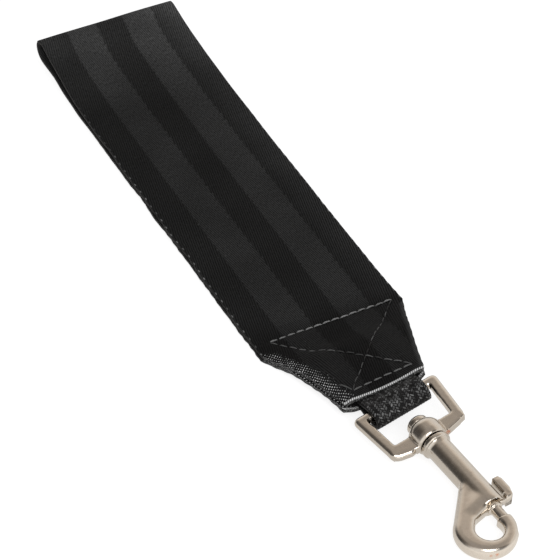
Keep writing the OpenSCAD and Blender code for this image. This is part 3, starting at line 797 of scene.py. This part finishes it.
def basketWeave():
    material, tree, shader = startMaterial("polypropylene basket weave webbing")
    cloth = addNode(tree, "UVMap", uv_map="cloth")
    spot = addNode(tree, "SeparateXYZ", cloth)
    u, v = spot.outputs["X"], spot.outputs["Y"]
    ribs = addNode(tree, "Math DIVIDE", u, tab["rib"])
    rib = addNode(tree, "Math FLOOR", ribs)
    inRib = addNode(tree, "Math SUBTRACT", addNode(tree, "Math FRACT", ribs), 0.5)
    odd = addNode(tree, "Math MODULO", rib, 2)
    lean = addNode(tree, "Math MULTIPLY_ADD", odd, 2 * tab["lean"], -tab["lean"])
    rows = addNode(tree, "Math MULTIPLY_ADD", odd, 0.5, addNode(tree, "Math DIVIDE", v, tab["float"]))
    rows = addNode(tree, "Math ADD", addNode(tree, "Math MULTIPLY_ADD", inRib, lean, rows), 0.5)
    inRow = addNode(tree, "Math ABSOLUTE", addNode(tree, "Math SUBTRACT", addNode(tree, "Math FRACT", rows), 0.5))
    cell = addNode(tree, "CombineXYZ", rib, addNode(tree, "Math FLOOR", rows))
    fibre = addNode(tree, "TexNoise", addNode(tree, "Mapping", cloth, None, None, basket["fibreScale"]), 1, 2)
    fromBend = addNode(tree, "Math ABSOLUTE", addNode(tree, "Math SUBTRACT", v, tabMiddle))
    parts = {"crownRow": inRow, "crownRib": addNode(tree, "Math ABSOLUTE", inRib),
             "lucky": addNode(tree, "TexWhiteNoise", cell),
             "patches": addNode(tree, "TexNoise", cloth, basket["patchScale"], 2), "bend": fromBend, "fibre": fibre}
    # painted highlights on the floats' crowns, with painted light near the bend and painted shade further from it
    light = addNode(tree, "Math MULTIPLY", *(addNode(tree, "MapRange", value, *basket[part])
                                             for part, value in parts.items()))
    tone = addNode(tree, "Mix RGBA", light, *map(colour, basket["tones"]))
    bump = addNode(tree, "Bump", basket["bump"], basket["relief"] * mm, None, fibre)
    dress(tree, shader, {"Base Color": tone, "Roughness": basket["roughness"], "Normal": bump,
                         "Specular IOR Level": basket["specular"]})
    return material


# spun polyester sewing thread: dull and a little fuzzy, one thread throughout, each line of the seam painted lighter or
# darker in grey as painted sheen
spun = {"tones": ("#181818", "#a8a8a8"), "fibres": 3, "fibre": (0.3, 0.7, 0.6, 1.2), "bump": 0.4, "relief": 0.1,
        "roughness": 0.55, "specular": 0.3}


def spunThread():
    material, tree, shader = startMaterial("spun polyester thread")
    here = addNode(tree, "TexCoord").outputs["Object"]
    shade = addNode(tree, "Attribute", attribute_name="shade").outputs["Fac"]
    fibre = addNode(tree, "TexNoise", here, spun["fibres"] / mm, 2)
    # the shade attribute is painted sheen: it makes some lines of the seam lighter than others
    light = addNode(tree, "Math MULTIPLY", shade, addNode(tree, "MapRange", fibre, *spun["fibre"]))
    tone = addNode(tree, "Mix RGBA", light, *map(colour, spun["tones"]))
    bump = addNode(tree, "Bump", spun["bump"], spun["relief"] * mm, None, fibre)
    dress(tree, shader, {"Base Color": tone, "Roughness": spun["roughness"], "Normal": bump,
                         "Specular IOR Level": spun["specular"]})
    return material


# bright nickel on cast zinc: warm and mirror-like, with the faint ripple of the casting and a cloudy polish. It is
# rubbed through to salmon copper in a few places, and the gap that the stem turns in is painted near black as painted
# shade
nickelPlate = {
    "tones": ("#cfc6ba", "#dbd3c8"), "ripples": 0.42, "bump": 0.25, "relief": 0.12, "clouds": 0.9,
    "roughness": (0.3, 0.7, 0.15, 0.24), "copper": "#cc8058", "grit": 1.8, "gritty": (0.4, 0.5), "wornCore": 0.6,
    "wornAndSheen": [(snapPoint(18.2, 4.9, 1.0), 1.3), (snapPoint(60.4, -10.9, 0.4), 0.9), (snapPoint(60.9, -9.4, 0.4), 1.1)],
    "paintedGapShade": "#1c1210", "gapAt": 18.62, "gapReach": (4.3 * mm, 4.1 * mm), "gapHalf": (0.46 * mm, 0.38 * mm),
}


def platedNickel():
    material, tree, shader = startMaterial("nickel plated zinc casting")
    here = addNode(tree, "TexCoord").outputs["Object"]
    cast, cloudy, grit = (addNode(tree, "TexNoise", here, nickelPlate[cells] / mm, detail)
                          for cells, detail in (("ripples", 2), ("clouds", 3), ("grit", 2)))
    rough = addNode(tree, "MapRange", cloudy, *nickelPlate["roughness"])
    tone = addNode(tree, "Mix RGBA", cloudy, *map(colour, nickelPlate["tones"]))
    for at, reach in nickelPlate["wornAndSheen"]:
        away = addNode(tree, "VectorMath DISTANCE", here, at * mm)
        bare = addNode(tree, "MapRange", away, reach * mm, reach * nickelPlate["wornCore"] * mm)
        bare = addNode(tree, "Math MULTIPLY", bare, addNode(tree, "MapRange", grit, *nickelPlate["gritty"]))
        tone = addNode(tree, "Mix RGBA", bare, tone, colour(nickelPlate["copper"]))
    # painted shade: the gap between the eye's boss and the hook's collar, where the stem turns, painted near black
    off = addNode(tree, "VectorMath SUBTRACT", here, snapPoint(nickelPlate["gapAt"], 0, 0) * mm)
    away = addNode(tree, "VectorMath LENGTH", off)
    along = addNode(tree, "Math ABSOLUTE", addNode(tree, "VectorMath DOT_PRODUCT", off, snapAlong))
    inside = addNode(tree, "Math MULTIPLY", addNode(tree, "MapRange", away, *nickelPlate["gapReach"]),
                     addNode(tree, "MapRange", along, *nickelPlate["gapHalf"]))
    tone = addNode(tree, "Mix RGBA", inside, tone, colour(nickelPlate["paintedGapShade"]))
    bump = addNode(tree, "Bump", nickelPlate["bump"], nickelPlate["relief"] * mm, None, cast)
    dress(tree, shader, {"Base Color": tone, "Roughness": rough, "Normal": bump, "Metallic": 1})
    return material


# cold drawn spring wire: plain bright steel with a slightly streaked polish
wire = {"tones": ("#b4b2ae", "#c9c7c3"), "streaks": 2.5, "roughness": (0, 1, 0.25, 0.4)}


def springSteel():
    material, tree, shader = startMaterial("spring steel wire")
    here = addNode(tree, "TexCoord").outputs["Object"]
    drawn = addNode(tree, "TexNoise", here, wire["streaks"] / mm, 2)
    tone = addNode(tree, "Mix RGBA", drawn, *map(colour, wire["tones"]))
    dress(tree, shader, {"Base Color": tone, "Roughness": addNode(tree, "MapRange", drawn, *wire["roughness"]),
                         "Metallic": 1})
    return material


thread, nickel = spunThread(), platedNickel()
makeStrap([wovenStripes(), sealedEdge()])
makeTab([basketWeave()])
makeStitches("needleStitches", "needle_thread", thread, upper=True, seed=3)
makeStitches("bobbinStitches", "bobbin_thread", thread, upper=False, seed=4)
makeCasting("eyeCasting", "swivel_eye", "eye", eye, nickel)
makeCasting("hookCasting", "snap_hook", "snap", hook, nickel)
makeCasting("boltCasting", "snap_bolt", "bolt", bolt, nickel)
makeSpring(springSteel())
print("pieces made")


# white paper under a soft box, in a bright room with two dark openings that the metal mirrors. Sizes are in metres
studio = {
    "floorSize": 4, "floorDrop": 0.00002, "bounce": 0.8, "floorGlow": 0.8, "floorShade": 0.34,
    "mirrored": (1, 0.975, 0.945, 1), "mirroredGlow": (-0.155, -0.185, 0.74, 1.15),
    "lampAt": (-0.1, -0.8, 0.7), "lampTo": (0, -0.04, 0), "lampSize": 0.5, "lampPower": 3.6,
    "sky": [(0.0, (0.9, 0.88, 0.86, 1)), (0.35, (0.9, 0.87, 0.84, 1)), (0.55, (0.88, 0.83, 0.78, 1)),
            (0.67, (0.8, 0.73, 0.66, 1)), (0.75, (0.65, 0.58, 0.52, 1)), (0.84, (0.44, 0.4, 0.36, 1)),
            (1.0, (0.38, 0.35, 0.33, 1))],
    "frontWay": (-0.35, -0.94, 0), "front": (0.2, 0.75), "frontSky": (1, 0.99, 0.98, 1),
    "openings": [(58, 25, (0.6, 1, 0, 0.93)), (-152, 40, (0.85, 0.97, 0, 0.8))], "dark": (0.02, 0.018, 0.017, 1),
    "fill": 0.68,
}


def paperSweep():
    material, tree, shader = startMaterial("white paper sweep")
    tree.nodes.remove(shader)
    ray = addNode(tree, "LightPath").outputs
    plain = addNode(tree, "BsdfDiffuse", (studio["bounce"],) * 3 + (1,))
    shaded = addNode(tree, "AddShader", addNode(tree, "Emission", (1, 1, 1, 1), studio["floorGlow"]),
                     addNode(tree, "BsdfDiffuse", (studio["floorShade"],) * 3 + (1,)))
    spot = addNode(tree, "SeparateXYZ", addNode(tree, "TexCoord").outputs["Object"])
    glow = addNode(tree, "MapRange", spot.outputs["Y"], *studio["mirroredGlow"])
    mirrored = addNode(tree, "Emission", studio["mirrored"], glow)
    first = addNode(tree, "MixShader", ray["Is Camera Ray"], plain, shaded)
    glossy = addNode(tree, "Math MAXIMUM", ray["Is Glossy Ray"], ray["Is Transmission Ray"])
    join(tree, addNode(tree, "MixShader", glossy, first, mirrored), tree.nodes["Material Output"].inputs["Surface"])
    return material


def makeFloor():
    bm = bmesh.new()
    lowest = min(0, cadBox[0].z) - studio["floorDrop"]
    bmesh.ops.create_grid(bm, x_segments=1, y_segments=1, size=studio["floorSize"],
                          matrix=Matrix.Translation((0, 0, lowest)))
    mesh = bpy.data.meshes.new("floor")
    bm.to_mesh(mesh)
    bm.free()
    mesh.materials.append(paperSweep())
    floor = bpy.data.objects.new("floor", mesh)
    scene.collection.objects.link(floor)


def makeLamp():
    lamp = bpy.data.objects.new("key", bpy.data.lights.new("key", "AREA"))
    lamp.data.size, lamp.data.energy = studio["lampSize"], studio["lampPower"]
    lamp.location = studio["lampAt"]
    lamp.rotation_mode = "QUATERNION"
    lamp.rotation_quaternion = (Vector(studio["lampAt"]) - Vector(studio["lampTo"])).to_track_quat("Z", "Y")
    scene.collection.objects.link(lamp)


def makeRoom():
    world = bpy.data.worlds.new("studio")
    scene.world = world
    world.use_nodes = True
    tree = world.node_tree
    toward = addNode(tree, "TexCoord").outputs["Generated"]
    rise = addNode(tree, "SeparateXYZ", toward).outputs["Z"]
    front = addNode(tree, "VectorMath DOT_PRODUCT", toward, studio["frontWay"])
    front = addNode(tree, "MapRange SMOOTHSTEP", front, *studio["front"])
    sky = addNode(tree, "Mix RGBA", front, addNode(tree, "ValToRGB", rise, stops=studio["sky"]), studio["frontSky"])
    for azimuth, elevation, limits in studio["openings"]:
        facing = addNode(tree, "VectorMath DOT_PRODUCT", toward, compassWay(azimuth, elevation))
        sky = addNode(tree, "Mix RGBA", addNode(tree, "MapRange SMOOTHSTEP", facing, *limits), sky, studio["dark"])
    ray = addNode(tree, "LightPath").outputs
    sky = addNode(tree, "Mix RGBA", ray["Is Diffuse Ray"], sky, (studio["fill"],) * 3 + (1,))
    sky = addNode(tree, "Mix RGBA", ray["Is Camera Ray"], sky, (1, 1, 1, 1))
    join(tree, sky, tree.nodes["Background"].inputs["Color"])


makeFloor()
makeLamp()
makeRoom()
scene.view_settings.view_transform = "Standard"
print("floor and light set")
